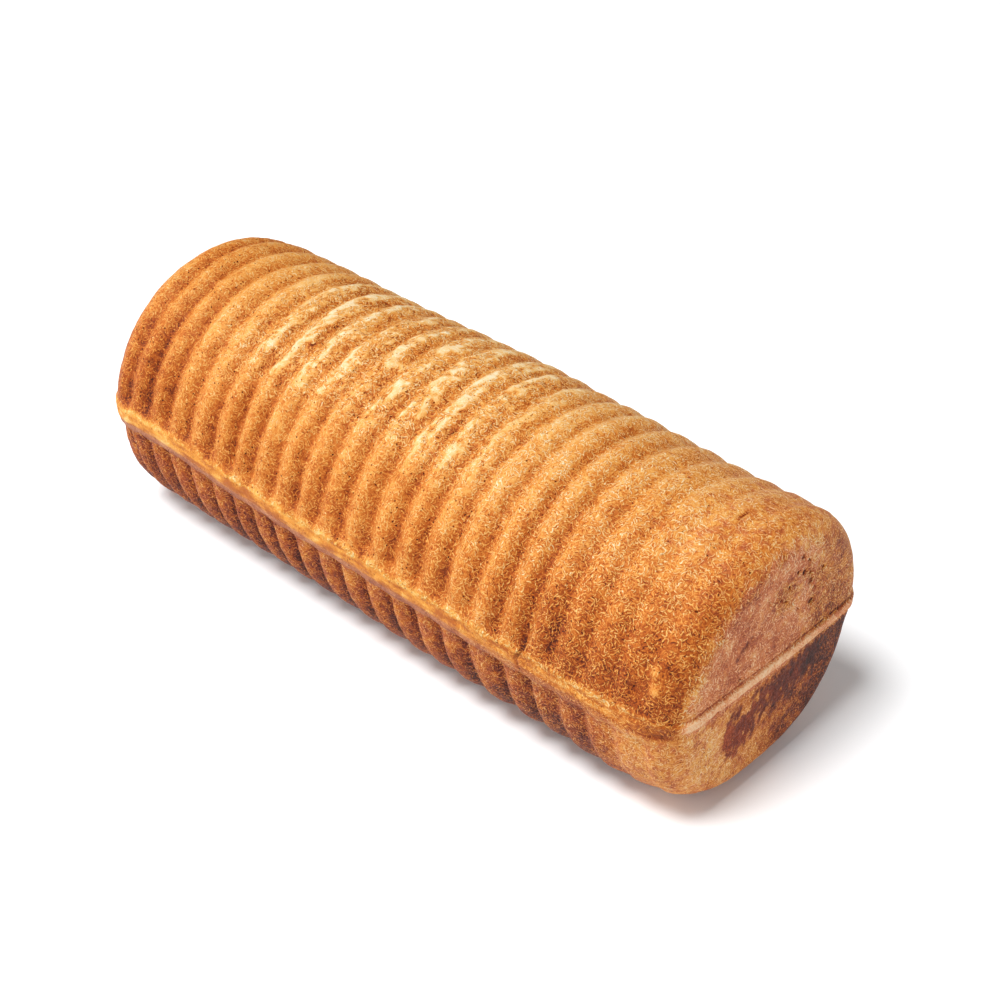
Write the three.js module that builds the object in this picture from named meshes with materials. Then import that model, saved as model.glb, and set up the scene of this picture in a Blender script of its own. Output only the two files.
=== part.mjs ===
// A round tin loaf: one piece of bread, baked on its side in a two-part ribbed tin.
// Lengths are in millimetres. X runs along the loaf, Y across it, Z up from the surface it lies on.
// The origin is under the middle of the loaf, on that surface.
import * as THREE from "three";

const { lerp, smoothstep } = THREE.MathUtils;

// Driving dimensions of the whole loaf.
const LOAF_LENGTH = 280;
const SEAM_HEIGHT = 50.6; // where the two halves of the tin met, above the surface
const TOP_RISE = 52.8; // from the seam up to the crests on top
const HALF_WIDTH = 56; // to the crests just above the seam
const TOP_ROUNDNESS = 1.97; // 2 is an ellipse; a little less gives shoulders that fall away
const LOWER_ROUNDNESS = 2.6; // over 2 is fuller towards the corners
const LOWER_SET_IN = 2; // the lower half is this much narrower than the upper one
const SAG = 0.8; // what the loaf's weight presses flat underneath

// The ribs that the tin's corrugations leave.
const RIB_PITCH = 11.85;
const GROOVE_COUNT = 22;
const RIBS_MIDDLE = 1; // they are a little nearer the +X end
const STEPS_PER_RIB = 5;
const TOP_GROOVE = 2.5;
const LOWER_GROOVE = 3.2;
const GROOVE_SHARPNESS = 1.6;
const FADE_FROM = 62; // past this, towards +X, the dough filled the tin's ribs less and less
const FADE_TO = 128;
const FADED_SHARE = 0.3;
const RIB_WANDER = 0.5; // how far a rib strays from its even place
const DEPTH_WANDER = 0.12; // share by which a groove is deeper or shallower than the next
const LEAN = 2.5; // the ribs lean back this far, down to the seam on the -Y side
const LEAN_MIDDLE = -12;
const LEAN_REACH = 50;

// The flash: a low band of crust that was squeezed into the gap between the two halves of the tin.
const BAND_HEIGHT = 6;
const BAND_STANDS = 0.8; // past the crests above it
const BAND_LEAN = 0.8; // its lower edge is this much further in than its middle
const BAND_TOP_SHARE = 0.7; // how far its upper edge stands out, as a share of the middle
const BAND_STEP = 0.6; // the height over which the surface steps out to it
const BAND_WANDER = 0.7;
const WANDER_REACH = 16; // the wander dies away this far above and below the band
const BAND_ON_END = 0.9; // how far it stands out of the end faces

// The two ends: a rim with a round edge, then a slightly domed face.
const NEAR_END = { side: 1, rim: 10.5, dome: 0.6, taper: 2.4 };
const FAR_END = { side: -1, rim: 17, dome: 0.6, taper: 0.7 };
const TAPER_LENGTH = 45;
const RIM_STEPS = 5;
const FACE_RINGS = [0.88, 0.66, 0.38, 0]; // shares of the face's own size, from its rim to its middle
const FACE_FROM = LOAF_LENGTH / 2 - 9; // the band turns from the sides onto the faces between these
const FACE_TO = LOAF_LENGTH / 2 - 5;

const TOP_STEPS = 18;
const LOWER_STEPS = 16;
const CRUST_COLOUR = 0xc98546;

// A point on a superellipse: how far across and how far up it is, as shares of its size.
function superellipse(angle, roundness) {
  const cos = Math.cos(angle);
  const power = 2 / roundness;
  return {
    across: Math.sign(cos) * Math.abs(cos) ** power,
    rise: Math.abs(Math.sin(angle)) ** power,
  };
}

// The outline of the section, from the +Y seam over the top, down the -Y side and back underneath.
// Heights are from the middle of the seam, and kind tells which part of the crust a point is on.
function sectionOutline() {
  const half = BAND_HEIGHT / 2;
  const edge = half + BAND_STEP;
  const bandPoint = (side, z, stands) => ({ kind: "band", y: side * (HALF_WIDTH + stands), z });
  const bandUpper = (side) => bandPoint(side, half, BAND_STANDS * BAND_TOP_SHARE);
  const bandMiddle = (side) => bandPoint(side, 0, BAND_STANDS);
  const bandLower = (side) => bandPoint(side, -half, BAND_STANDS - BAND_LEAN);
  // Half of the section: a superellipse with those half axes, from just past the band to the other side.
  const halfSection = (kind, width, height, roundness, steps) => {
    const start = Math.asin((edge / Math.abs(height)) ** (roundness / 2));
    return Array.from({ length: steps + 1 }, (_, i) => {
      const { across, rise } = superellipse(lerp(start, Math.PI - start, i / steps), roundness);
      return { kind, y: width * across, z: height * rise };
    });
  };
  const outline = [bandMiddle(1), bandUpper(1)];
  outline.push(...halfSection("top", HALF_WIDTH, TOP_RISE, TOP_ROUNDNESS, TOP_STEPS));
  outline.push(bandUpper(-1), bandMiddle(-1), bandLower(-1));
  const lowerWidth = HALF_WIDTH - LOWER_SET_IN;
  const lowerDepth = -(SEAM_HEIGHT + SAG);
  outline.push(...halfSection("lower", -lowerWidth, lowerDepth, LOWER_ROUNDNESS, LOWER_STEPS));
  outline.push(bandLower(1));
  return outline;
}

// How far the surface is set in at a place along the loaf: by the taper and by the round rim of each end.
function endInset(x) {
  const end = x > 0 ? NEAR_END : FAR_END;
  const fromRim = LOAF_LENGTH / 2 - end.dome - Math.abs(x);
  const taper = end.taper * Math.max(0, 1 - fromRim / TAPER_LENGTH) ** 2;
  if (fromRim >= end.rim) return taper;
  const inRim = end.rim - Math.max(fromRim, 0);
  return taper + end.rim - Math.sqrt(end.rim ** 2 - inRim ** 2);
}

// The shape along the loaf, for turning. Its distance from the axis is a share of the section's size.
function turningProfile() {
  const lastGroove = (side) => RIBS_MIDDLE + (side * (GROOVE_COUNT - 1) * RIB_PITCH) / 2;
  const rimPlace = (end) => end.side * (LOAF_LENGTH / 2 - end.dome);
  const ringAt = (x) => new THREE.Vector2(1 - endInset(x) / HALF_WIDTH, x);
  const rimRings = (end) =>
    Array.from({ length: RIM_STEPS }, (_, i) => {
      const share = Math.sin(((i + 1) / RIM_STEPS) * (Math.PI / 2));
      return ringAt(lerp(lastGroove(end.side), rimPlace(end), share));
    });
  const faceRings = (end) => {
    const size = ringAt(rimPlace(end)).x;
    return FACE_RINGS.map((share) => {
      const out = end.side * end.dome * (1 - share ** 2);
      return new THREE.Vector2(share * size, rimPlace(end) + out);
    });
  };
  const ribSteps = (GROOVE_COUNT - 1) * STEPS_PER_RIB;
  const ribRings = Array.from({ length: ribSteps + 1 }, (_, i) =>
    ringAt(lerp(lastGroove(-1), lastGroove(1), i / ribSteps)),
  );
  return [
    ...[...rimRings(FAR_END), ...faceRings(FAR_END)].reverse(),
    ...ribRings,
    ...rimRings(NEAR_END),
    ...faceRings(NEAR_END),
  ];
}

// How deep the grooves are at a place along the loaf: 0 on a crest, about 1 in a groove.
function grooveShare(x) {
  const fromMiddle = x - RIBS_MIDDLE;
  if (Math.abs(fromMiddle) >= (GROOVE_COUNT / 2) * RIB_PITCH) return 0;
  const wave = 0.5 - 0.5 * Math.cos((2 * Math.PI * fromMiddle) / RIB_PITCH);
  const uneven = 1 + DEPTH_WANDER * Math.sin(x / 7.3 + 1) * Math.cos(x / 23);
  return wave ** GROOVE_SHARPNESS * uneven * lerp(1, FADED_SHARE, smoothstep(x, FADE_FROM, FADE_TO));
}

// The ribs aren't quite evenly spaced, and on the -Y side they lean towards -X as they come down.
function ribShift(x, y) {
  const inside = 1 - smoothstep(Math.abs(x), FACE_FROM - RIB_PITCH, FACE_FROM);
  const wander = RIB_WANDER * Math.sin(x / 9.1) * Math.cos(x / 37 + y / 60);
  const lean = LEAN * Math.exp(-(((x - LEAN_MIDDLE) / LEAN_REACH) ** 2));
  return inside * (wander - lean * Math.max(-y / HALF_WIDTH, 0) ** 2);
}

// The flash doesn't run quite level.
function bandWander(x, side) {
  return BAND_WANDER * Math.sin(x / 31 + side) * Math.cos(x / 83 - side);
}

// A point of the loaf, from its place in the outline, its ring's size and its place along the loaf.
function loafPoint(point, size, x) {
  const half = BAND_HEIGHT / 2;
  let y = point.y * size;
  let z = point.z;
  let along = x;
  if (point.kind === "band") {
    along += Math.sign(x) * BAND_ON_END * smoothstep(Math.abs(x), FACE_FROM, FACE_TO);
  } else {
    z = Math.sign(z) * (half + (Math.abs(z) - half) * size);
    const depth = (point.kind === "top" ? TOP_GROOVE : LOWER_GROOVE) * grooveShare(x);
    const shrink = 1 - depth / Math.hypot(point.y, point.z);
    y *= shrink;
    z *= shrink;
  }
  z += bandWander(x, Math.sign(point.y)) * size * Math.exp(-((point.z / WANDER_REACH) ** 2));
  return new THREE.Vector3(along + ribShift(x, y), y, Math.max(SEAM_HEIGHT + z, 0));
}

// The loaf is turned as a plain roll, and each ring of it is then pressed to the tin's section.
function loafGeometry() {
  const outline = sectionOutline();
  const profile = turningProfile();
  const geometry = new THREE.LatheGeometry(profile, outline.length);
  const position = geometry.attributes.position;
  for (let i = 0; i < position.count; i++) {
    const ring = profile[i % profile.length];
    const place = Math.floor(i / profile.length) % outline.length;
    const made = loafPoint(outline[place], ring.x, ring.y);
    position.setXYZ(i, made.x, made.y, made.z);
  }
  geometry.computeVertexNormals();
  return geometry;
}

const crust = new THREE.MeshStandardMaterial({
  color: CRUST_COLOUR,
  roughness: 0.8,
  metalness: 0,
});

const loaf = new THREE.Mesh(loafGeometry(), crust);
loaf.name = "loaf";

const tinLoaf = new THREE.Group();
tinLoaf.add(loaf);

export default tinLoaf;
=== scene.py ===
import math
from itertools import product

import bpy
import numpy as np
from mathutils import Matrix, Vector


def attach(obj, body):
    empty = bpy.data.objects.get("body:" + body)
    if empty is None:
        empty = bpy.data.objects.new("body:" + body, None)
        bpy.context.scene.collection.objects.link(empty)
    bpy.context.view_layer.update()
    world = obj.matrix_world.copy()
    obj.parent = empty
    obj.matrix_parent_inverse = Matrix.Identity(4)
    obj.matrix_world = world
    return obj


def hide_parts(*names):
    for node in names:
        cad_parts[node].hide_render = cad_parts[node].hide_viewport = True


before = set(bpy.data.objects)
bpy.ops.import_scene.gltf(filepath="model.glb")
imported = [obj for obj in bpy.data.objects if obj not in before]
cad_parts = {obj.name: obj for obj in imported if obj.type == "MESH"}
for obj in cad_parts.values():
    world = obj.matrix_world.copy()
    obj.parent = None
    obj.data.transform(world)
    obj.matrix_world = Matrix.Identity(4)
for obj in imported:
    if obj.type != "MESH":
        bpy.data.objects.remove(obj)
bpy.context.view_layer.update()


# The loaf. One piece of bread with a thin dry crust, baked lying in a ribbed tin of two halves: the
# tin's corrugations left the ribs, and the gap between its halves squeezed out the flash.
# Its form is in millimetres: x along the loaf, y across it, and heights from the seam of the tin.
LOAF_LENGTH = 280.0
SEAM_HEIGHT = 50.6
TOP_RISE = 52.8
HALF_WIDTH = 56.0
TOP_ROUNDNESS = 1.97
LOWER_ROUNDNESS = 2.6
LOWER_SET_IN = 2.0
SAG = 0.8
NEAR_RIM, FAR_RIM = 10.5, 17.0
NEAR_TAPER, FAR_TAPER = 2.4, 0.7
TAPER_LENGTH = 45.0
END_DOME = 0.6

# The ribs, which fade towards the near end.
RIB_PITCH = 11.85
GROOVE_COUNT = 22
RIBS_MIDDLE = 1.0
TOP_GROOVE = 2.5
LOWER_GROOVE = 3.2
GROOVE_SHARPNESS = 1.5
DEPTH_WANDER = 0.12
FADE_FROM, FADE_TO = 62, 128
RIB_WANDER = 0.5
LEAN = 2.5

# The flash, and where along the loaf it turns from the sides onto the end faces.
BAND_HALF = 3.0
BAND_STANDS = 0.85
BAND_WANDER = 0.7
WANDER_REACH = 16
LIP_STANDS = 0.4
STRIPE_STANDS = 0.9
SIDE_ENDS = 118
FACE_FROM, FACE_TO = 131.0, 135.0
NEAR_FACE = 139.5

# How far apart the mesh's points are: on the crust, near the flash, and on the end faces.
CRUST_STEP = 0.8
BAND_STEP = 0.5
FACE_STEP = 0.9


def ease(value, start, stop):
    """Smooth 0 to 1 as a value goes from start to stop."""
    share = np.clip((value - start) / (stop - start), 0, 1)
    return share * share * (3 - 2 * share)


def fade(value, start, stop):
    """Smooth 1 to 0 as a value goes from start to stop."""
    return 1 - ease(value, start, stop)


def bell(value, middle, reach):
    """1 at the middle, and smoothly down to 0 past its reach on both sides."""
    return np.exp(-(((value - middle) / reach) ** 2))


def end_inset(x):
    """How far the taper and the round rim of each end set the surface in."""
    near = x > 0
    rim = np.where(near, NEAR_RIM, FAR_RIM)
    taper = np.where(near, NEAR_TAPER, FAR_TAPER)
    from_rim = LOAF_LENGTH / 2 - END_DOME - np.abs(x)
    in_rim = np.clip(rim - from_rim, 0, rim)
    set_in = taper * np.maximum(0, 1 - from_rim / TAPER_LENGTH) ** 2
    return set_in + rim - np.sqrt(rim**2 - in_rim**2)


def even_line(x, y, step_at):
    """The same line again, with its points as far apart as step_at says."""
    apart = np.hypot(np.diff(x), np.diff(y)) / step_at
    travelled = np.concatenate(([0], np.cumsum(apart)))
    stops = np.linspace(0, travelled[-1], int(round(travelled[-1])) + 1)
    return np.interp(stops, travelled, x), np.interp(stops, travelled, y)


def face_rings(edge_size):
    """An end face's rings from beside its rim to its middle: how far out each is, and its size."""
    share = np.linspace(1, 0, int(edge_size * HALF_WIDTH / FACE_STEP) + 1)[1:]
    return LOAF_LENGTH / 2 - END_DOME * share**2, share * edge_size


def ring_line():
    """Each ring's place along the loaf and its size, from the far face's middle to the near one's."""
    x = (END_DOME - LOAF_LENGTH / 2) * np.cos(np.linspace(0, math.pi, 20001))
    x, radius = even_line(x, HALF_WIDTH - end_inset(x), CRUST_STEP)
    size = radius / HALF_WIDTH
    far_out, far_size = face_rings(size[0])
    near_out, near_size = face_rings(size[-1])
    all_x = np.concatenate((-far_out[::-1], x, near_out))
    return all_x, np.concatenate((far_size[::-1], size, near_size))


def section_line():
    """The plain section, from the top down the +Y side to underneath, and up the -Y side again."""
    angle = np.linspace(math.pi / 2, 0, 8001)
    top_y = HALF_WIDTH * np.cos(angle) ** (2 / TOP_ROUNDNESS)
    top_z = TOP_RISE * np.sin(angle) ** (2 / TOP_ROUNDNESS)
    low_y = HALF_WIDTH * np.cos(angle[::-1]) ** (2 / LOWER_ROUNDNESS)
    low_z = -(SEAM_HEIGHT + SAG) * np.sin(angle[::-1]) ** (2 / LOWER_ROUNDNESS)
    y = np.concatenate((top_y, low_y[1:]))
    z = np.concatenate((top_z, low_z[1:]))
    middle = 0.5 * (z[1:] + z[:-1])
    near_band = np.abs(middle + 2) < 9
    y, z = even_line(y, z, np.where(near_band, BAND_STEP, CRUST_STEP))
    y[0] = y[-1] = 0
    return np.concatenate((y, -y[-2:0:-1])), np.concatenate((z, z[-2:0:-1]))


def crust_noise(points, size, seed):
    """Smooth noise of about -1 to 1, with bumps of that size, or of that size along each axis."""
    chance = np.random.default_rng(seed)
    order = chance.permutation(256)
    slopes = chance.normal(size=(256, 3))
    slopes /= np.linalg.norm(slopes, axis=1)[:, None]
    place = points / np.asarray(size) + 100
    cell = np.floor(place).astype(int)
    inside = place - cell
    blend = inside**3 * (inside * (inside * 6 - 15) + 10)
    total = np.zeros(points.shape[:-1])
    for corner in product((0, 1), repeat=3):
        i, j, k = ((cell[..., axis] + corner[axis]) & 255 for axis in range(3))
        slope = slopes[order[(order[(order[i] + j) & 255] + k) & 255]]
        share = np.prod(np.where(corner, blend, 1 - blend), axis=-1)
        total += share * np.sum(slope * (inside - corner), axis=-1)
    return total * 1.7


def groove_share(x, uneven, skew):
    """0 on a crest and about 1 in a groove. A skewed groove is steeper on its +X side."""
    from_middle = (x - RIBS_MIDDLE) / RIB_PITCH
    turn = 2 * math.pi * from_middle
    wave = (0.5 - 0.5 * np.cos(turn + skew * np.cos(turn))) ** GROOVE_SHARPNESS
    depth = 1 + DEPTH_WANDER * np.sin(x / 7.3 + 1) * np.cos(x / 23) + uneven
    pressed_in = np.abs(from_middle) < GROOVE_COUNT / 2
    return wave * pressed_in * depth * (1 - 0.7 * ease(x, FADE_FROM, FADE_TO))


def rib_shade_share(x):
    """Painted shade: about 1 on the side of each rib that faces the near end, down into the groove, and 0
    on crests.
    """
    turn = np.mod((x - RIBS_MIDDLE) / RIB_PITCH - 0.56, 1)
    return ease(turn, 0.38, 0.86) * fade(turn, 0.93, 1.0) * (1 - 0.6 * ease(x, FADE_FROM, FADE_TO))


# The plain roll comes first: its places carry all the unevenness that follows.
ring_x, ring_size = ring_line()
section_y, section_z = section_line()
x, rise = np.meshgrid(ring_x, section_z, indexing="ij")
size, across = np.meshgrid(ring_size, section_y, indexing="ij")
side = np.sign(across)
near_side = side < 0
top_half = rise > 0
half_height = np.abs(rise)
scaled = np.where(half_height > BAND_HALF, BAND_HALF + (half_height - BAND_HALF) * size, half_height)
plain_y = across * size
plain_z = np.sign(rise) * scaled
plain = np.stack((x, plain_y, plain_z), axis=-1)
up_angle = np.degrees(np.arctan2(plain_z, -plain_y))
on_side = fade(np.abs(x), SIDE_ENDS, FACE_FROM)
on_face = ease(np.abs(x), 136.5, 139.3)
near_face = on_face * (x > 0)

# The flash runs along the seam, not quite level: it dips towards the middle of the -Y side.
wander = BAND_WANDER * np.sin(x / 31 + side) * np.cos(x / 83 - side)
level = plain_z + wander * size * bell(rise, 0, WANDER_REACH)
dip = -0.5 - 2.1 * bell(x, 25, 75) + 1.7 * ease(-x, 55, 105)
band_middle = np.where(near_side, dip, 0) * fade(np.abs(x), SIDE_ENDS, FACE_FROM)
from_band = level - band_middle
band_along = fade(np.abs(x), 132, 137)

# The grooves wander and vary a little. Below the flash they are out of step with those above it,
# because the halves of the tin didn't quite line up.
uneven = 0.16 * crust_noise(plain, 14, 1) + 0.10 * crust_noise(plain, 6, 2)
stray = 0.5 * crust_noise(plain, (22, 30, 30), 3) + 0.22 * crust_noise(plain, (6, 9, 9), 4)
out_of_step = -4.4 * fade(x, 45, 78) + (0.08 + 0.12 * ease(-x, 70, 100)) * (-rise - 8)
out_of_step *= ease(-plain_y, 0, 40) * (rise < 0)
rib_place = x + stray * on_side - out_of_step
groove = groove_share(rib_place, uneven, np.where(top_half, 0.2, 0.55))
crest = 1 - np.clip(groove, 0, 1)
# Painted shade on the side of each rib that faces the near end, away from the light.
painted_rib_shade = rib_shade_share(rib_place) * on_side

# Above the flash they end roundly, and they are shallower where the top is wrinkled.
wrinkled = ease(up_angle, 28, 55) * fade(up_angle, 110, 145) * ease(x, -100, -65) * fade(x, 15, 75)
groove_end = 3.4 + 0.8 * crust_noise(plain, (9, 40, 40), 5)
top_depth = TOP_GROOVE * groove * ease(from_band, groove_end - 1.2, groove_end + 4.4)
top_depth *= (1 - 0.38 * wrinkled) * (1 - 0.22 * ease(up_angle, 60, 100))

# Below it they start again from a narrow ledge, and the loaf's weight has pressed them underneath.
ledge_end = 8.2 + 0.9 * crust_noise(plain, (9, 40, 40), 6)
ledge = fade(-from_band, ledge_end, ledge_end + 3.2) * (1 - 0.6 * ease(x, 50, 110)) * (1 - on_face)
pressed = 1 - 0.35 * ease(-rise, 24, 44)
low_depth = LOWER_GROOVE * ease(-from_band, 6.2, 9.2) * np.maximum(groove * pressed, 0.26 * ledge)
depth = np.where(top_half, top_depth, low_depth)
shrink = 1 - depth / np.hypot(across, rise)
set_in = LOWER_SET_IN / HALF_WIDTH * np.where(top_half, 0, ease(-from_band, 3.6, 12.0))

# The flash itself: a smooth low band, a ragged scalloped lip along its top, and a stripe on each face.
ragged = 0.5 * crust_noise(plain, (5, 30, 30), 7) + 0.45 * crust_noise(plain, (1.7, 3, 3), 8)
lip_height = 2.5 + (0.6 * crest + ragged) * on_side
lip_strength = np.clip(0.6 + 1.1 * crust_noise(plain, (1.9, 4, 4), 9), 0, 1.5)
lip_strength *= 1 - 0.75 * ease(-x, 50, 80)
lip = bell(from_band, lip_height - 0.3, 0.9) * lip_strength
band_top = fade(from_band, lip_height - 1.0, lip_height + 1.1)
band_face = ease(from_band, -5.2, -1.0) * band_top
thinner = 1 - 0.55 * ease(x, 45, 90) + 0.3 * crust_noise(plain, (9, 40, 40), 10)
thinner *= 1 - 0.75 * ease(x, 104, 122) * near_side
torn = 0.45 * ease(x, 38, 60) * crust_noise(plain, (6, 2.0, 2.0), 17) * bell(from_band, -0.5, 4)
torn += 0.20 * crust_noise(plain, (2.4, 1.6, 1.6), 18) * bell(from_band, 1.2, 3)
band_out = (BAND_STANDS * band_face * thinner + LIP_STANDS * lip + torn) * band_along
stripe = ease(rise, -2.4, -1.6) * fade(rise, 1.5, 2.1)
stripe_out = STRIPE_STANDS * stripe * ease(np.abs(x), FACE_FROM, FACE_TO)

# The ribs aren't quite evenly spaced, and on the -Y side they lean back as they come down.
lean = LEAN * bell(x, -12, 50) * np.maximum(-plain_y / HALF_WIDTH, 0) ** 2
rib_shift = on_side * (RIB_WANDER * np.sin(x / 9.1) * np.cos(x / 37 + plain_y / 60) - lean)
loaf_x = x + rib_shift + np.sign(x) * stripe_out
loaf_y = plain_y * shrink * (1 - set_in) + side * band_out
loaf_z = level + plain_z * (shrink - 1)

# The way out of the surface at each point, which the crust's relief follows.
base = np.stack((loaf_x, loaf_y, loaf_z), axis=-1)
along = np.gradient(base, axis=0)
around = np.roll(base, -1, axis=1) - np.roll(base, 1, axis=1)
outward = np.cross(along, around)
outward /= np.maximum(np.linalg.norm(outward, axis=-1), 1e-9)[..., None]
flat = (on_face > 0.97)[..., None]
outward = np.where(flat, np.sign(x)[..., None] * np.array([1.0, 0, 0]), outward)

# The crust is uneven all over. The wrinkled top has thin folds, and pale streaks along its crests.
streaks = crust_noise(plain, (3.0, 9.5, 9.5), 11) + 0.6 * crust_noise(plain, (1.9, 3.4, 3.4), 12)
folds = np.abs(crust_noise(plain, (2.4, 4.5, 4.5), 13) + 0.5 * crust_noise(plain, (1.8, 2.2, 2.2), 19))
tatters = 0.45 * crust_noise(plain, (1.3, 2.0, 2.0), 20)
cream = wrinkled * ease(streaks + tatters + 0.8 * (crest - 0.45), 0.26, 0.84)
relief = 0.30 * crust_noise(plain, (16, 22, 22), 14) + 0.14 * crust_noise(plain, 5, 15)
relief += 0.09 * crust_noise(plain, 2.3, 16) * (1 - 0.5 * bell(rise, 0, 4))
relief += wrinkled * (0.30 * np.clip(streaks, -1, 1) - 0.22 * (1 - cream) * fade(folds, 0, 0.22))
relief *= 1 - 0.55 * near_face

# The loaf is a little fuller in its middle, and slacker towards the near end.
swell = (1.3 * bell(x, 5, 32) - 1.7 * bell(x, 98, 28)) * bell(up_angle, 125, 38)
swell += (0.9 * bell(x, 30, 50) - 1.1 * ease(x, 112, 134)) * bell(up_angle, -48, 22)
relief += swell * (1 - on_face)


def near_to(spots):
    """About 1 at each spot (x, y, height above the table, radius), and 0 away from them."""
    total = np.zeros(x.shape)
    for spot_x, spot_y, spot_z, radius in spots:
        away = (x - spot_x) ** 2 + (plain_y - spot_y) ** 2 + (plain_z + SEAM_HEIGHT - spot_z) ** 2
        total = np.maximum(total, np.exp(-away / radius**2))
    return total


def on_near_face(spots):
    """The same for spots on the near face (y, height above the table, radius)."""
    return near_to([(NEAR_FACE, *spot) for spot in spots])


# The larger pits, where bubbles burst: most on the near face, a few on the top and at the near corner.
face_pits = on_near_face([
    (8, 89, 1.2), (10, 82, 1.3), (15, 76, 1.4), (17, 67, 1.5), (12, 86, 0.8), (6, 84, 0.8),
    (14, 80, 0.9), (18, 72, 0.9), (2, 80, 0.9), (-2, 77, 0.8), (1, 75, 0.8), (5, 72, 0.7),
    (-9, 80, 0.6), (9, 68, 0.8), (1, 66, 0.7), (22, 78, 0.9), (-20, 55, 1.1), (-32, 48.5, 1.0),
])
side_pits = near_to([
    (-126.8, -19.8, 97.8, 0.8), (-88.6, -30.1, 92.2, 0.8), (-67.8, -27.7, 95.4, 0.7),
    (-81.9, 17.2, 100.6, 0.9), (-65.2, 4.1, 100.9, 0.8), (26.4, 11.6, 101.8, 0.9),
    (17.4, -20, 97.9, 0.7), (61.5, -20, 99.5, 0.7), (78.3, -37.1, 86.6, 0.7),
    (130.8, -37.2, 87.1, 0.8), (110.3, -53.5, 44.6, 0.9), (112.5, -53.5, 44.2, 0.9),
    (121.8, -53.2, 61.5, 0.8), (129.4, -51.8, 65.6, 0.6), (139, -17, 70, 0.9), (139, -19, 68.5, 0.9),
])
pits = np.maximum(face_pits, side_pits)

# A blister and three hollows at the near corner, a crack on top, and where the flash broke across.
blister = near_to([(127.5, -50.5, 68.8, 1.7), (129.2, -52.3, 63.5, 1.9)])
hollows = near_to([(122.4, -53.4, 60.5, 3.2), (132.5, -53, 46.5, 3.6), (136, -49, 46, 3.0)])
crack = bell(x - 122 - 0.03 * (plain_y + 3) ** 2, 0, 0.5) * bell(plain_y, -3, 3.6) * top_half
broken = bell(x - 77.5 - 0.9 * np.sin(rise / 1.7), 0, 0.55) * bell(rise, -0.5, 5.5) * near_side
relief += 1.0 * blister - 0.9 * hollows - 0.9 * pits - 0.7 * crack - 1.1 * broken

loaf = base + outward * relief[..., None]
loaf[..., 2] = np.maximum(loaf[..., 2] + SEAM_HEIGHT, 0)

# How brown the crust is: 0 is cream and 1 nearly black. It is blotchy all over, and painted shade
# makes it darker in the grooves and on the side of each rib that faces the near end.
wide_blotch = crust_noise(plain, 30, 21)
blotch = crust_noise(plain, 12, 22)
small_blotch = crust_noise(plain, 5, 23)
lower = ease(-from_band, 3.4, 6.0)
upper = 1 - lower
near = ease(x, 95, 128)
groove_shade = ease(groove, 0.25, 0.95)
brown = 0.34 + 0.05 * wide_blotch + 0.06 * blotch + 0.05 * small_blotch
brown += (0.08 * groove_shade + 0.11 * painted_rib_shade) * (1 - 0.2 * wrinkled) * upper * (1 - near_face)

# Both ends are darker than the middle, and the -Y side is darker than the top.
brown += 0.15 * ease(-x, 88, 132) * (1 - 0.8 * lower) + 0.03 * ease(-x, 40, 80)
brown += 0.14 * ease(x, 50, 105) * (1 - 0.4 * ease(up_angle, 50, 90))
flank = fade(up_angle, 10, 58 + 22 * near) * upper * (1 - on_face)
brown += (0.18 + 0.04 * ease(x, 50, 100)) * (1 + 0.10 * ease(x, 104, 126)) * flank
brown += 0.08 * ease(x, 118, 134) * upper * ease(up_angle, 30, 60)
brown -= 0.03 * ease(up_angle, 55, 85) * fade(x, 40, 90)

# On the wrinkled top the streaks are creamy, and the folds between them dark.
folded = (1 - cream) * fade(folds, 0.02, 0.3)
brown += wrinkled * (0.12 * folded + 0.02 - 0.27 * cream)

# Below the flash the whole crust is browner, least so at the near end. Painted shade darkens its grooves,
# the side of each rib away from the light, and the underside more and more towards the table.
below = 0.24 + 0.08 * groove_shade + 0.20 * painted_rib_shade * ease(-rise, 6, 22) + 0.18 * ease(-rise, 16, 42)
brown += lower * (below * (1 - 0.12 * ease(x, 45, 70) - 0.78 * near) + 0.04 * bell(x, -45, 25))
brown += 0.29 * lower * ease(x, 127, 137) * ease(plain_y, -25, 12)

# The flash is smooth and golden and streaked along its length. Its lip and its two ends are paler.
band_edge = -3.3 + 0.5 * crust_noise(plain, (5, 30, 30), 28)
band = ease(from_band, band_edge - 0.6, band_edge + 0.6) * band_top * band_along
band *= 1 - (0.45 * ease(x, 35, 75) + 0.3 * ease(x, 100, 120)) * near_side
band_brown = 0.60 + 0.20 * small_blotch + 0.16 * blotch + 0.22 * crust_noise(plain, (8, 1.5, 1.5), 27)
band_brown -= 0.06 * ease(-x, 70, 100)
brown += band * (band_brown - brown)
lip_colour = bell(from_band, lip_height - 0.3, 1.1) * (0.4 + 0.7 * lip_strength)
lip_colour = np.clip(lip_colour, 0, 1) * band_along
brown -= 0.14 * lip_colour
flaky = bell(x, 112, 9) * bell(from_band, 0, 3.5) + bell(x, -124, 9) * bell(from_band, -1, 4)
flakes = np.clip(0.6 + 2.4 * crust_noise(plain, 2.6, 25), 0, 1.6)
brown -= 0.22 * flaky * flakes * near_side

# Right under the flash runs a dull mauve strip, darker towards the ribs: partly its own colour,
# partly painted shade where the crust is set in under the flash.
mauve = ease(-from_band, 2.9, 4.1) * fade(-from_band, 7.0, 8.6) * band_along
mauve *= (0.9 - 0.5 * ease(x, 35, 70)) * fade(x, 95, 120)
mauve_brown = 0.50 + 0.14 * ease(-from_band, 4.5, 7.5) + 0.10 * small_blotch
brown += mauve * (mauve_brown - brown)

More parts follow.
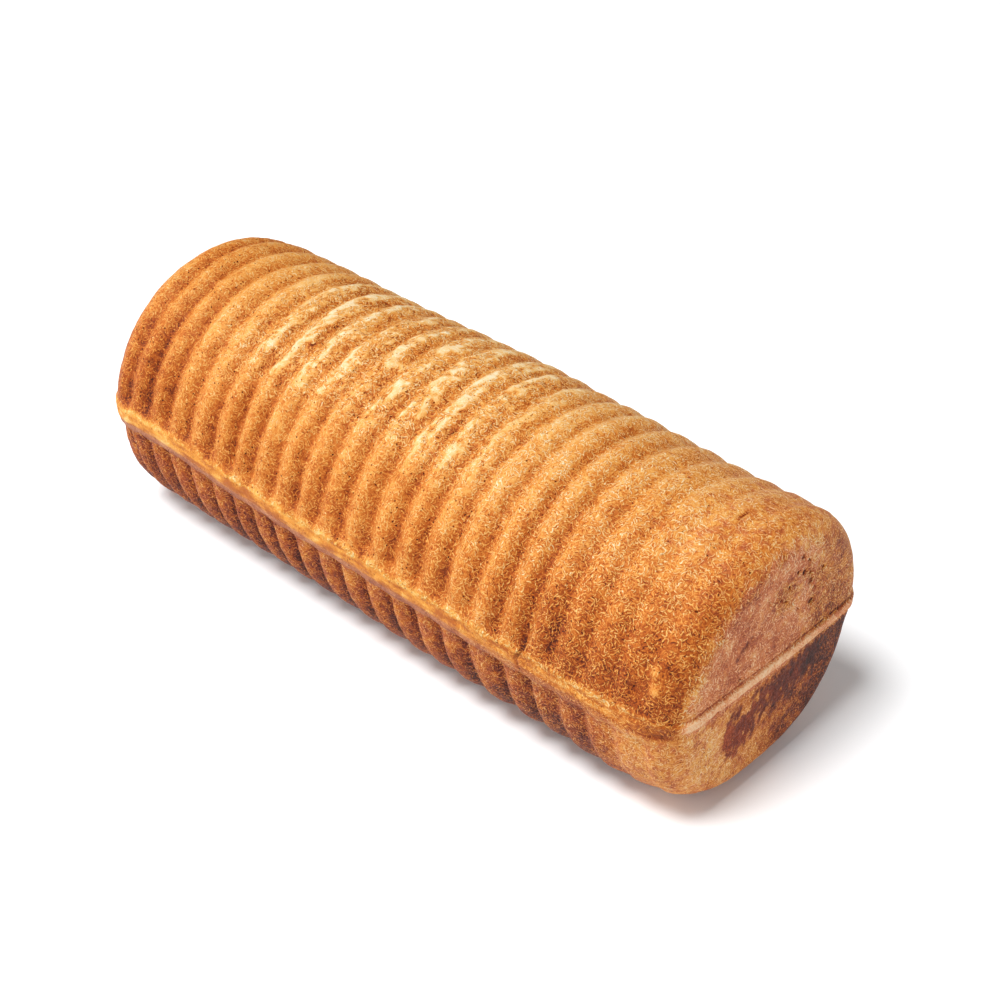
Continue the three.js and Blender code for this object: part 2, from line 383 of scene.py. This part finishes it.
# Where the crust is rosy and not golden: a disc on the near face, the stripes, and below the flash.
orange_spot = on_near_face([(0, 77.5, 6.5)])
face_reach = np.hypot(plain_y + 2, plain_z - 2)
disc = near_face * fade(plain_y + 8 * small_blotch, 2, 38) * fade(face_reach + 6 * small_blotch, 37, 50)
pink = np.maximum(0.82 * disc * (1 - 0.8 * lower) * (1 - orange_spot), on_face * stripe)
pink = np.maximum(pink, 0.47 * lower * (1 - 0.2 * near))
pink = np.maximum(pink, 0.36 * ease(x, 85, 120) * upper * ease(up_angle, 35, 65))

# The near face is browner towards its +Y side, and along the upper edge of its pale stripe.
face_brown = 0.10 * blotch + 0.10 * small_blotch + 0.20 * ease(plain_y, 6, 34) + 0.20 * orange_spot
brown += near_face * (face_brown - 0.05 + 0.26 * bell(rise, 2.7, 0.5)) - 0.36 * on_face * stripe
brown += 0.10 * hollows - 0.28 * blister + 0.5 * crack + 0.45 * broken
brown = np.clip(brown, 0, 1)

# The near face is burnt in patches below its stripe, and has a short dark streak above it.
burnt = bell(plain_z - 0.13 * plain_y, -14.5, 8.5) * ease(plain_y, -29, -20) * fade(plain_y, 24, 34)
burnt += bell(plain_y, -17, 7) * bell(plain_z, -22, 8) - bell(plain_y, -14, 3) * bell(plain_z, -12, 3.5)
scorch = 1.05 + 1.0 * crust_noise(plain, (9, 2.0, 5), 24) + 0.5 * crust_noise(plain, 1.6, 29)
dark_streak = on_near_face([(-17, 70.5, 1.5), (-19, 69, 1.6), (-21.5, 67.5, 1.7), (-24, 65.5, 1.8)])
burnt = near_face * (burnt * ease(-rise, 1.8, 3.4) * scorch + 0.7 * dark_streak)
burnt = np.clip(burnt, 0, 1)

# How grainy the crust is. It is smoother where it is burnt, blistered, creamy, glazed or mauve.
grainy = 0.64 + 0.30 * ease(x, 10, 90) + 0.22 * lower * (1 - near) + 0.25 * wrinkled
grainy += 0.3 * near_face * upper
grainy *= (1 - 0.35 * burnt) * (1 - 0.6 * blister) * (1 - 0.5 * hollows) * (1 - 0.7 * cream)
grainy *= (1 - 0.55 * band * (1 - 0.8 * lip_colour)) * (1 - 0.6 * mauve) * (1 - 0.2 * pink)


def loaf_mesh(name, grid, attributes):
    """A closed mesh over the grid of rings and places, with its ends' middle points merged."""
    rings, places = grid.shape[:2]
    index = np.arange(rings * places).reshape(rings, places)
    beyond = np.roll(index, -1, axis=1)
    quads = np.stack((index[:-1], index[1:], beyond[1:], beyond[:-1]), axis=-1).reshape(-1, 4)
    points = grid.reshape(-1, 3)
    micrometres = np.round(points * 1000).astype(np.int64)
    _, first, merged = np.unique(micrometres, axis=0, return_index=True, return_inverse=True)
    merged = merged.reshape(-1)[quads]
    faces = []
    corners = []
    for quad, source in zip(merged.tolist(), quads.tolist()):
        kept = [n for n in range(4) if quad[n] != quad[n - 1]]
        if len(kept) > 2 and len({quad[n] for n in kept}) == len(kept):
            faces.append([quad[n] for n in kept])
            corners.extend(source[n] for n in kept)
    mesh = bpy.data.meshes.new(name)
    mesh.from_pydata((points[first] / 1000).tolist(), [], faces)
    mesh.polygons.foreach_set("use_smooth", [True] * len(mesh.polygons))
    for label, values in attributes.items():
        mesh.attributes.new(label, "FLOAT", "POINT").data.foreach_set("value", values.reshape(-1)[first])
    return mesh, corners


crust_zones = {
    "brown": brown,
    "grainy": grainy,
    "pink": pink,
    "burnt": burnt,
    "mauve": mauve,
    "band": band,
    "pits": pits,
    "lip": lip_colour,
    "ragged": wrinkled * (1 - 0.8 * cream),
}
crust_mesh, crust_corners = loaf_mesh("loaf_crust", loaf, crust_zones)

# The crust laid out flat for the bake: the side as one sheet, and each end face as a disc beside it.
SHEET_WIDTH = 430.0
SHEET_MARGIN = 0.01
DISC_ACROSS = 0.86
FAR_DISC_UP, NEAR_DISC_UP = 0.15, 0.45


def travelled(across, up):
    """How far along a line each of its points is."""
    return np.concatenate(([0], np.cumsum(np.hypot(np.diff(across), np.diff(up)))))


def lay_out(mesh, corners, places):
    line_u = travelled(ring_x, HALF_WIDTH * ring_size)
    line_v = travelled(np.append(section_y, section_y[0]), np.append(section_z, section_z[0]))
    rim = LOAF_LENGTH / 2 - END_DOME
    far_rings = np.flatnonzero(ring_x <= -rim).max()
    near_rings = np.flatnonzero(ring_x >= rim).min()
    ring, place = np.divmod(np.asarray(corners), places)
    starts = np.empty(len(mesh.polygons), dtype=np.int32)
    mesh.polygons.foreach_get("loop_start", starts)
    totals = np.empty(len(mesh.polygons), dtype=np.int32)
    mesh.polygons.foreach_get("loop_total", totals)
    face_of = np.repeat(np.arange(len(totals)), totals)
    far = np.maximum.reduceat(ring, starts)[face_of] <= far_rings
    near = np.minimum.reduceat(ring, starts)[face_of] >= near_rings
    spans = (np.maximum.reduceat(place, starts) - np.minimum.reduceat(place, starts))[face_of]
    closed = np.where((spans > 2) & (place == 0), places, place)
    disc_u = DISC_ACROSS + ring_size[ring] * section_y[place] / SHEET_WIDTH
    disc_v = plain_z[ring, place] / SHEET_WIDTH
    u = (line_u[ring] - line_u[far_rings]) / SHEET_WIDTH + SHEET_MARGIN
    v = line_v[closed] / SHEET_WIDTH + SHEET_MARGIN
    u = np.where(far | near, disc_u, u)
    v = np.where(far, FAR_DISC_UP + disc_v, np.where(near, NEAR_DISC_UP + disc_v, v))
    layer = mesh.uv_layers.new(name="OFBake")
    layer.data.foreach_set("uv", np.stack((u, v), axis=-1).reshape(-1).astype(np.float32))


lay_out(crust_mesh, crust_corners, len(section_y))
crust_mesh.update()

# The crust's finish: matt, dry and grainy. In this studio's light a finish needs only the share
# STUDIO_GAIN of the brightness that it is to show.
STUDIO_GAIN = 0.74
BUMP_DEPTH = 0.001
CURL_BEND = 0.35
crust = bpy.data.materials.new("baked_crust")
crust.use_nodes = True
nodes = crust.node_tree.nodes
links = crust.node_tree.links
shader = nodes["Principled BSDF"]


def display(red, green, blue):
    """The finish that shows on a screen as that colour, 0 to 255, in this studio's light."""
    share = np.array([red, green, blue]) / 255
    light = np.where(share <= 0.04045, share / 12.92, ((share + 0.055) / 1.055) ** 2.4)
    return (*(light * STUDIO_GAIN).tolist(), 1)


def feed(socket, value):
    """Link another node's output to a socket, or set the socket to a value."""
    if isinstance(value, bpy.types.NodeSocket):
        links.new(value, socket)
    else:
        socket.default_value = value


def node(kind, settings=None, **inputs):
    """A node with its settings and its inputs, each by its name, or by n and its number."""
    made = nodes.new("ShaderNode" + kind)
    for label, value in (settings or {}).items():
        setattr(made, label, value)
    for label, value in inputs.items():
        numbered = label[0] == "n" and label[1:].isdigit()
        feed(made.inputs[int(label[1:]) if numbered else label.replace("_", " ")], value)
    return made


def math_of(operation, first, second=0.0):
    return node("Math", {"operation": operation}, n0=first, n1=second).outputs[0]


def vector_of(operation, first, second=(0, 0, 0), output="Vector"):
    return node("VectorMath", {"operation": operation}, n0=first, n1=second).outputs[output]


def scaled_by(vector, factor):
    return node("VectorMath", {"operation": "SCALE"}, n0=vector, Scale=factor).outputs[0]


def mask(label):
    return node("Attribute", {"attribute_name": label}).outputs["Fac"]


def ramp(value, stops):
    """The colours of the stops, each from its place between 0 and 1 on."""
    made = node("ValToRGB", Fac=value)
    elements = made.color_ramp.elements
    while len(elements) < len(stops):
        elements.new(0.5)
    for element, (position, colour) in zip(elements, stops):
        element.position = position
        element.color = display(*colour)
    return made.outputs[0]


def spread(value, low, high, to_low=0.0, to_high=1.0):
    """The value's stretch from low to high, eased into the one from to_low to to_high."""
    ends = {"From_Min": low, "From_Max": high, "To_Min": to_low, "To_Max": to_high}
    return node("MapRange", {"interpolation_type": "SMOOTHSTEP"}, Value=value, **ends).outputs[0]


def mixed(share, first, second):
    return node("Mix", {"data_type": "RGBA"}, n0=share, n6=first, n7=second).outputs[2]


def layered(ground, *layers):
    """The ground with a share of each layer added to it, from pairs of a layer and its share."""
    for layer, share in layers:
        ground = math_of("ADD", ground, math_of("MULTIPLY", layer, share))
    return ground


def noise(vector, bump_size, detail, rough):
    """Noise whose bumps are about that many millimetres across."""
    made = node("TexNoise", Vector=vector, Scale=1 / bump_size, Detail=detail, Roughness=rough)
    return made.outputs["Fac"]


def cells_of(vector, cell_size):
    """One point in each cell, at an uneven place, with a colour of chance numbers."""
    return node("TexVoronoi", {"feature": "F1"}, Vector=vector, Scale=1 / cell_size)


def chance_in(cells, channel):
    return node("SeparateColor", Color=cells.outputs["Color"]).outputs[channel]


millimetres = scaled_by(node("TexCoord").outputs["Object"], 1000.0)
swirl = node("TexNoise", Vector=millimetres, Scale=1 / 3.0, Detail=1.0).outputs["Color"]
swirl = scaled_by(vector_of("SUBTRACT", swirl, (0.5, 0.5, 0.5)), 2.4)
swirled = vector_of("ADD", millimetres, swirl)
grainy_mask = mask("grainy")
pink_mask = mask("pink")


def curl_layer(cell_size, offset, half_width, half_length):
    """Short light curls of dry crust, one in each cell, each lying its own way on the surface."""
    moved = vector_of("ADD", swirled, offset)
    cells = cells_of(moved, cell_size)
    from_centre = vector_of("SUBTRACT", moved, cells.outputs["Position"])
    outward_side = node("NewGeometry").outputs["Normal"]
    own_way = vector_of("SUBTRACT", cells.outputs["Color"], (0.5, 0.5, 0.5))
    across_curl = vector_of("NORMALIZE", vector_of("CROSS_PRODUCT", outward_side, own_way))
    along_curl = vector_of("CROSS_PRODUCT", outward_side, across_curl)
    off = vector_of("DOT_PRODUCT", from_centre, across_curl, "Value")
    run = vector_of("DOT_PRODUCT", from_centre, along_curl, "Value")
    bent = math_of("SUBTRACT", off, math_of("MULTIPLY", math_of("MULTIPLY", run, run), CURL_BEND))
    narrow = spread(math_of("ABSOLUTE", bent), half_width * 0.45, half_width, 1.0, 0.0)
    short = spread(math_of("ABSOLUTE", run), half_length * 0.6, half_length, 1.0, 0.0)
    strength = spread(chance_in(cells, 2), 0.1, 0.9, 0.25, 1.0)
    return math_of("MULTIPLY", math_of("MULTIPLY", narrow, short), strength)


# Light curls and dark strokes, and longer ragged strokes where the top is wrinkled.
curls = math_of("MAXIMUM", curl_layer(1.3, (0, 0, 0), 0.185, 0.9), curl_layer(1.7, (40, 7, 3), 0.205, 1.25))
curls = math_of("MULTIPLY", curls, grainy_mask)
strokes = math_of("MULTIPLY", curl_layer(1.4, (13, 31, 5), 0.17, 0.8), grainy_mask)
torn_strokes = math_of("MULTIPLY", curl_layer(3.0, (5, 17, 29), 0.34, 2.1), mask("ragged"))

# Pale crumbs along the torn lip of the flash, and the dark grain and blotches of the whole crust.
crumbs = math_of("MULTIPLY", spread(noise(swirled, 1.1, 2.0, 0.6), 0.46, 0.60), mask("lip"))
grain = noise(millimetres, 0.85, 2.0, 0.55)
grain_swing = math_of("SUBTRACT", grain, 0.5)
patches = math_of("SUBTRACT", noise(millimetres, 3.2, 3.0, 0.6), 0.5)

# Pinholes, most where the crust is less grainy, and the larger pits.
pinhole_cells = cells_of(millimetres, 1.5)
pinhole_pick = layered(chance_in(pinhole_cells, 0), (grainy_mask, -0.7))
pinholes = spread(pinhole_cells.outputs["Distance"], 0.12, 0.24, 1.0, 0.0)
pinholes = math_of("MULTIPLY", pinholes, spread(pinhole_pick, 0.18, 0.36))
pinholes = math_of("MAXIMUM", pinholes, spread(mask("pits"), 0.4, 0.7))

# Painted glints: bright dots where a curl stands up and catches the light.
glint_cells = cells_of(swirled, 1.7)
glints = spread(glint_cells.outputs["Distance"], 0.10, 0.20, 1.0, 0.0)
glints = math_of("MULTIPLY", glints, spread(chance_in(glint_cells, 1), 0.66, 0.76))
glints = math_of("MULTIPLY", glints, grainy_mask)

# All of these make the crust's tone lighter or darker, and the tone picks its colours.
tone = layered(
    mask("brown"),
    (grainy_mask, 0.06),
    (grain_swing, math_of("MULTIPLY", grainy_mask, spread(pink_mask, 0.1, 0.7, 0.58, 0.34))),
    (patches, 0.45),
    (curls, -0.46),
    (strokes, 0.26),
    (torn_strokes, 0.17),
    (glints, -0.40),
    (crumbs, -0.26),
    (pinholes, 0.36),
)
golden = ramp(tone, [
    (0.00, (254, 232, 190)),
    (0.14, (251, 209, 146)),
    (0.30, (244, 181, 97)),
    (0.45, (233, 156, 71)),
    (0.60, (208, 116, 40)),
    (0.75, (172, 80, 19)),
    (0.88, (130, 53, 14)),
    (1.00, (66, 24, 9)),
])
rosy = ramp(tone, [
    (0.00, (255, 214, 168)),
    (0.25, (242, 166, 108)),
    (0.45, (218, 127, 74)),
    (0.65, (182, 88, 48)),
    (0.85, (124, 53, 32)),
    (1.00, (70, 28, 20)),
])
charred = ramp(tone, [
    (0.00, (228, 116, 50)),
    (0.35, (170, 72, 27)),
    (0.60, (116, 43, 18)),
    (1.00, (50, 19, 11)),
])
glazed = ramp(tone, [
    (0.10, (255, 224, 152)),
    (0.35, (246, 182, 86)),
    (0.52, (231, 149, 56)),
    (0.75, (192, 106, 42)),
])
dull_mauve = ramp(tone, [
    (0.15, (236, 178, 132)),
    (0.40, (204, 134, 96)),
    (0.65, (160, 90, 62)),
    (1.00, (84, 42, 34)),
])
colour = mixed(mask("band"), golden, glazed)
colour = mixed(spread(layered(pink_mask, (patches, 1.5)), 0.2, 0.8), colour, rosy)
colour = mixed(mask("mauve"), colour, dull_mauve)
colour = mixed(spread(math_of("ADD", mask("burnt"), patches), 0.2, 0.8), colour, charred)
links.new(colour, shader.inputs["Base Color"])

height = layered(
    math_of("MULTIPLY", curls, 0.14),
    (grain_swing, math_of("MULTIPLY", grainy_mask, -0.30)),
    (pinholes, -0.35),
    (torn_strokes, -0.20),
    (crumbs, 0.30),
    (patches, -0.25),
)
bump = node("Bump", Height=height, Distance=BUMP_DEPTH, Strength=1.0)
links.new(bump.outputs[0], shader.inputs["Normal"])
links.new(spread(grain, 0.3, 0.7, 0.5, 0.72), shader.inputs["Roughness"])
shader.inputs["Specular IOR Level"].default_value = 0.16

crust_mesh.materials.append(crust)
loaf_crust = bpy.data.objects.new("loaf_crust", crust_mesh)
bpy.context.scene.collection.objects.link(loaf_crust)
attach(loaf_crust, "root")
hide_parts("loaf")


# The table top: a plain, matt white sheet that the loaf lies on. It reaches far past the picture, and
# in this light it shows white but for the loaf's own soft shadow.
TABLE_REACH = 6.0
table_mesh = bpy.data.meshes.new("table_top")
table_corners = [(-TABLE_REACH, -TABLE_REACH, 0), (TABLE_REACH, -TABLE_REACH, 0)]
table_corners += [(TABLE_REACH, TABLE_REACH, 0), (-TABLE_REACH, TABLE_REACH, 0)]
table_mesh.from_pydata(table_corners, [], [(0, 1, 2, 3)])
table_top = bpy.data.objects.new("table_top", table_mesh)
bpy.context.scene.collection.objects.link(table_top)
white = bpy.data.materials.new("white_table")
white.use_nodes = True
white_shader = white.node_tree.nodes["Principled BSDF"]
white_shader.inputs["Base Color"].default_value = (0.96, 0.97, 0.98, 1)
white_shader.inputs["Roughness"].default_value = 0.9
white_shader.inputs["Specular IOR Level"].default_value = 0.0
table_mesh.materials.append(white)


# The light: a big soft lamp high over the -Y side, a weaker one from the far left and a faint one
# towards the near end, in an even white studio.
STUDIO_STRENGTH = 0.31
world = bpy.data.worlds.new("studio")
world.use_nodes = True
world.node_tree.nodes["Background"].inputs["Color"].default_value = (1, 1, 1, 1)
world.node_tree.nodes["Background"].inputs["Strength"].default_value = STUDIO_STRENGTH
bpy.context.scene.world = world


def soft_lamp(name, place, size, power):
    """A round lamp that faces the loaf's middle. Its size is in metres and its power in watts."""
    data = bpy.data.lights.new(name, "AREA")
    data.shape = "DISK"
    data.size = size
    data.energy = power
    lamp = bpy.data.objects.new(name, data)
    lamp.location = place
    to_loaf = Vector((0, 0, 0.05)) - Vector(place)
    lamp.rotation_euler = to_loaf.to_track_quat("-Z", "Y").to_euler()
    bpy.context.scene.collection.objects.link(lamp)


soft_lamp("key_lamp", (-0.19, -1.40, 2.84), 1.2, 107)
soft_lamp("left_lamp", (-2.10, -1.47, 0.84), 1.3, 34)
soft_lamp("near_lamp", (2.20, 0.60, 0.50), 1.0, 13)


# The camera: where the photograph was taken from, fitted to the loaf's outline and its flash.
# Its centre is where the middle of the view falls in the square picture, in pixels.
IMAGE_SIZE = 1000
FOCAL_PIXELS = 1853.0
SENSOR_WIDTH = 36
AZIMUTH, PITCH, ROLL = (math.radians(angle) for angle in (39.854, 34.681, 3.437))
CENTRE_X, CENTRE_Y = 461.178, 490.443
DISTANCE = 0.680257
AIM = Vector((0, 0, 0.04977))
back = Vector((
    math.sin(AZIMUTH) * math.cos(PITCH),
    -math.cos(AZIMUTH) * math.cos(PITCH),
    math.sin(PITCH),
))
sideways = Vector((math.cos(AZIMUTH), math.sin(AZIMUTH), 0))
upright = back.cross(sideways)
right = math.cos(ROLL) * sideways + math.sin(ROLL) * upright
up = -math.sin(ROLL) * sideways + math.cos(ROLL) * upright
right_of_middle = (CENTRE_X - IMAGE_SIZE / 2) / FOCAL_PIXELS
below_middle = (CENTRE_Y - IMAGE_SIZE / 2) / FOCAL_PIXELS
seat = AIM + DISTANCE * (back - right * right_of_middle + up * below_middle)
camera_data = bpy.data.cameras.new("camera")
camera_data.sensor_fit = "HORIZONTAL"
camera_data.sensor_width = SENSOR_WIDTH
camera_data.lens = FOCAL_PIXELS * SENSOR_WIDTH / IMAGE_SIZE
camera_data.clip_start = 0.01
camera = bpy.data.objects.new("camera", camera_data)
camera.matrix_world = Matrix((
    (right.x, up.x, back.x, seat.x),
    (right.y, up.y, back.y, seat.y),
    (right.z, up.z, back.z, seat.z),
    (0, 0, 0, 1),
))
bpy.context.scene.collection.objects.link(camera)
bpy.context.scene.camera = camera
bpy.context.scene.view_settings.view_transform = "Standard"
